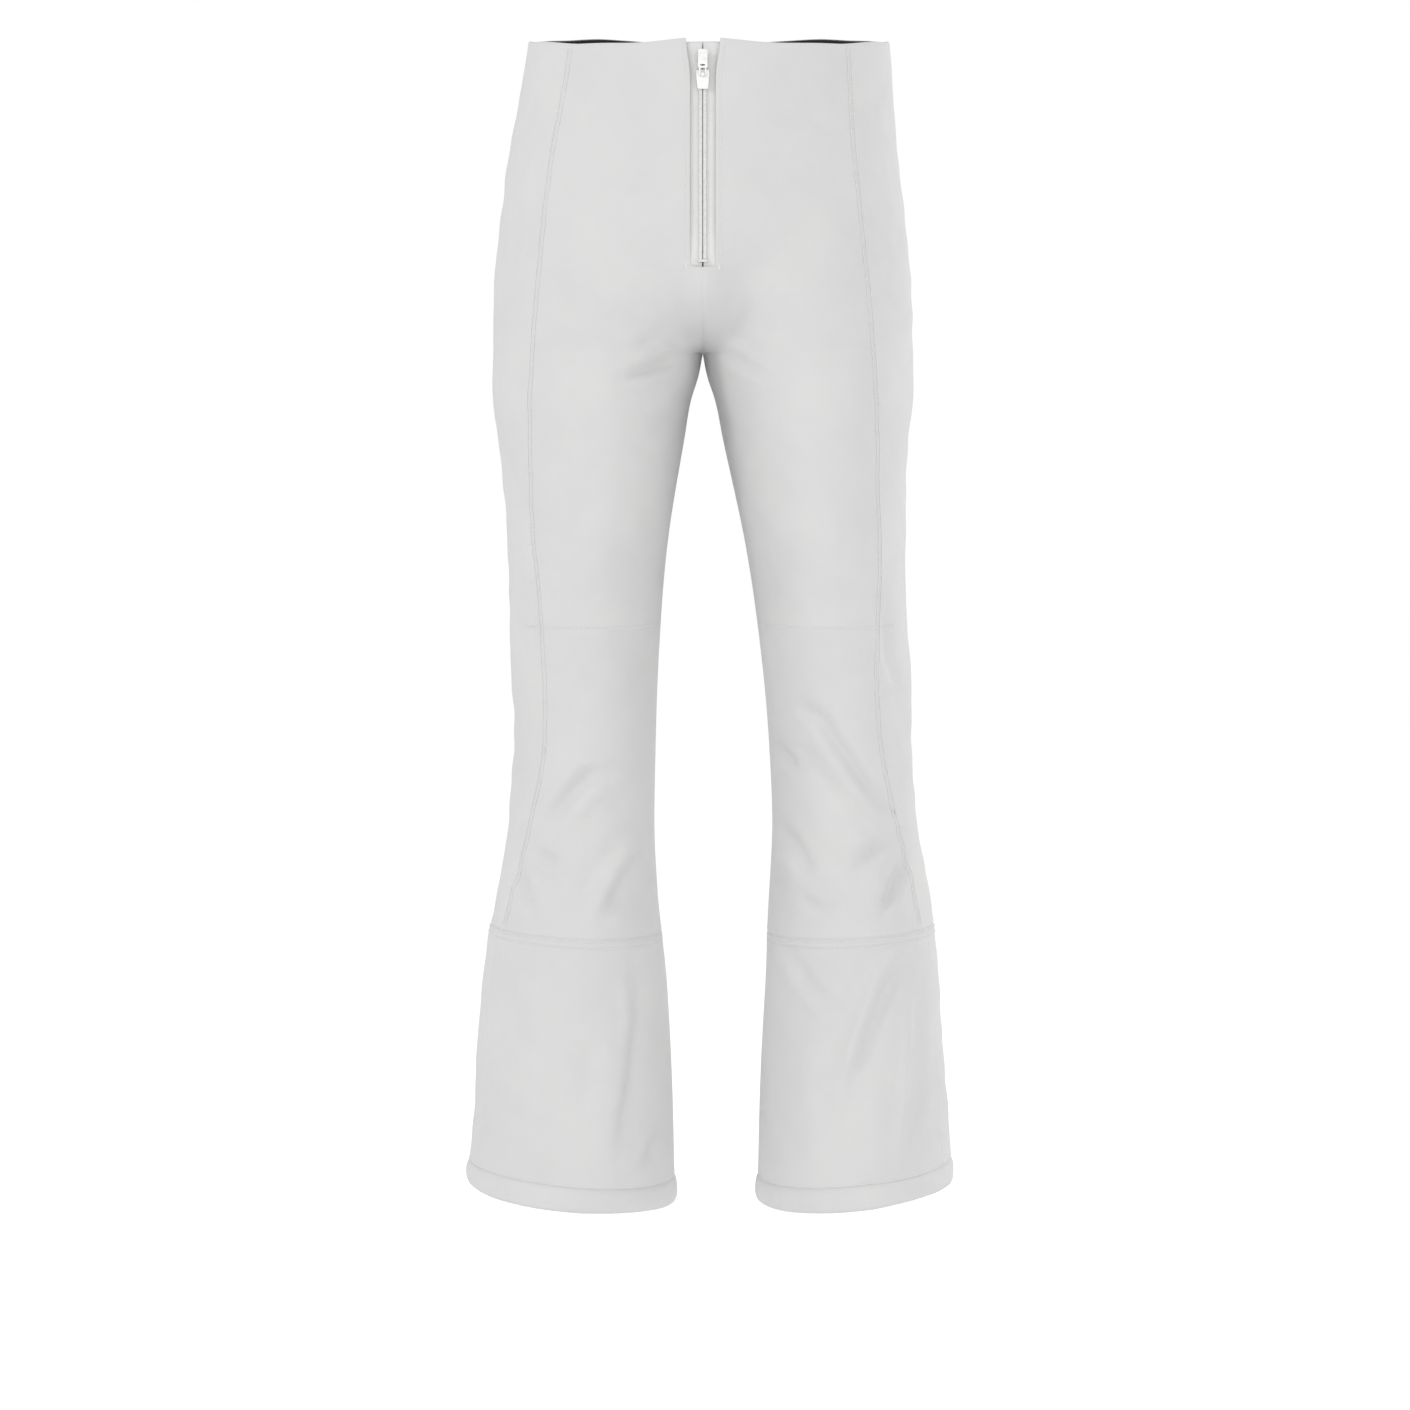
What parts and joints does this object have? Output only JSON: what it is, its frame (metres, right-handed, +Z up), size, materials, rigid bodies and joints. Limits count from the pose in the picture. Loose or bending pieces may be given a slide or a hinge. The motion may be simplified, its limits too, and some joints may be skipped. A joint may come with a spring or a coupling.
{
  "type": "ski pants",
  "caption": "High-waist flared softshell ski pants with an exposed front zip, sewn side panels, knee and cuff seams and inner snow gaiters.",
  "frame": {"origin": "centre of the waist opening, level with its front edge", "axes": "+Z up out of the waist, -Y the way the wearer faces, +X the wearer's left"},
  "size_m": [0.436, 0.2423, 1.0485],
  "materials": {
    "softshell": "matte woven face",
    "shield_cloth": "matte woven face",
    "facing": "brushed matte",
    "gaiter_cloth": "plain coated weave",
    "gaiter_elastic": "ribbed elastic webbing",
    "zip_tape": "fine knit tape",
    "zip_coil": "satin nylon coil",
    "zip_enamel": "satin enamel",
    "hook_metal": "brushed",
    "loop_tape": "satin tape"
  },
  "bodies": {
    "root": {"back_panel_left": "softshell", "back_panel_right": "softshell", "flare_back_left": "softshell", "flare_back_right": "softshell", "flare_front_left": "softshell", "flare_front_right": "softshell", "fly_shield": "shield_cloth", "front_panel_left": "softshell", "front_panel_right": "softshell", "gaiter_elastic_left": "gaiter_elastic", "gaiter_elastic_right": "gaiter_elastic", "gaiter_hook_left": "hook_metal", "gaiter_hook_right": "hook_metal", "hanger_loop_left": "loop_tape", "hanger_loop_right": "loop_tape", "hem_band_left": "softshell", "hem_band_right": "softshell", "shin_panel_left": "softshell", "shin_panel_right": "softshell", "side_panel_left": "softshell", "side_panel_right": "softshell", "snow_gaiter_left": "gaiter_cloth", "snow_gaiter_right": "gaiter_cloth", "waist_bar": "hook_metal", "waist_facing_back": "facing", "waist_facing_left": "facing", "waist_facing_right": "facing", "waist_hook": "hook_metal", "zip_bottom_stop": "zip_coil", "zip_coil_left": "zip_coil", "zip_coil_right": "zip_coil", "zip_tape_left": "zip_tape", "zip_tape_right": "zip_tape", "zip_top_stop_left": "zip_coil", "zip_top_stop_right": "zip_coil"},
    "slider": {"zip_slider": "zip_enamel"},
    "pull_tab": {"zip_pull_tab": "zip_enamel"}
  },
  "joints": [
    {"name": "zip_slide", "type": "slide", "parent": "root", "child": "slider", "axis": [0, -0.0797, -0.9968], "range_m": [0, 0.144]},
    {"name": "pull_flip", "type": "hinge", "parent": "slider", "child": "pull_tab", "pos_m": [0, -0.09286, -0.03071], "axis": [1, 0, 0], "range_deg": [0, 178]}
  ]
}
